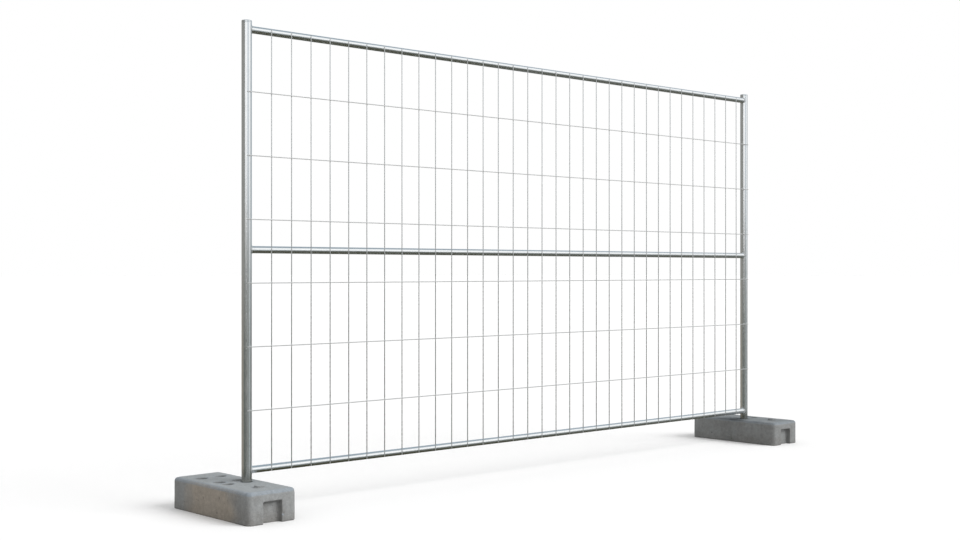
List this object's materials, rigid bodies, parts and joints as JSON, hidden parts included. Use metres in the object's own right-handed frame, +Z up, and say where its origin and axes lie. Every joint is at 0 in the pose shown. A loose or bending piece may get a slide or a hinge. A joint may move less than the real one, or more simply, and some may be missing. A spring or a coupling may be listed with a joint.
{
  "type": "temporary fence panel",
  "caption": "Free-standing temporary fence panel: welded round-tube frame with wire mesh, its posts standing in the sockets of loose cast concrete feet.",
  "frame": {"origin": "on the ground, midway between the two feet in X and at the middle of their length in Y", "axes": "+X to the right along the panel seen from its mesh side, +Y away from that side, +Z up"},
  "size_m": [3.728, 0.576, 2.023],
  "materials": {
    "tube": "hot-dip galvanised steel tube, satin with a fine spangle",
    "wire": "galvanised drawn wire, satin",
    "post_cap": "galvanised pressed cap, satin",
    "concrete": "cast grey concrete, matt, with pores and worn edges"
  },
  "bodies": {
    "panel": {"left_post": "tube", "right_post": "tube", "left_post_cap": "post_cap", "right_post_cap": "post_cap", "top_rail": "tube", "mid_rail": "tube", "bottom_rail": "tube", "vertical_wire_01": "wire", "vertical_wire_02": "wire", "vertical_wire_03": "wire", "vertical_wire_04": "wire", "vertical_wire_05": "wire", "vertical_wire_06": "wire", "vertical_wire_07": "wire", "vertical_wire_08": "wire", "vertical_wire_09": "wire", "vertical_wire_10": "wire", "vertical_wire_11": "wire", "vertical_wire_12": "wire", "vertical_wire_13": "wire", "vertical_wire_14": "wire", "vertical_wire_15": "wire", "vertical_wire_16": "wire", "vertical_wire_17": "wire", "vertical_wire_18": "wire", "vertical_wire_19": "wire", "vertical_wire_20": "wire", "vertical_wire_21": "wire", "vertical_wire_22": "wire", "vertical_wire_23": "wire", "vertical_wire_24": "wire", "vertical_wire_25": "wire", "vertical_wire_26": "wire", "vertical_wire_27": "wire", "vertical_wire_28": "wire", "vertical_wire_29": "wire", "vertical_wire_30": "wire", "vertical_wire_31": "wire", "vertical_wire_32": "wire", "vertical_wire_33": "wire", "horizontal_wire_1": "wire", "horizontal_wire_2": "wire", "horizontal_wire_3": "wire", "horizontal_wire_4": "wire", "horizontal_wire_5": "wire", "horizontal_wire_6": "wire"},
    "left_foot": {"left_foot": "concrete"},
    "right_foot": {"right_foot": "concrete"}
  },
  "joints": [
    {"name": "left_foot_swivel", "type": "hinge", "parent": "panel", "child": "left_foot", "pos_m": [-1.705, -0.031, 0], "axis": [0, 0, 1], "continuous": true},
    {"name": "right_foot_swivel", "type": "hinge", "parent": "panel", "child": "right_foot", "pos_m": [1.705, -0.031, 0], "axis": [0, 0, 1], "continuous": true}
  ]
}
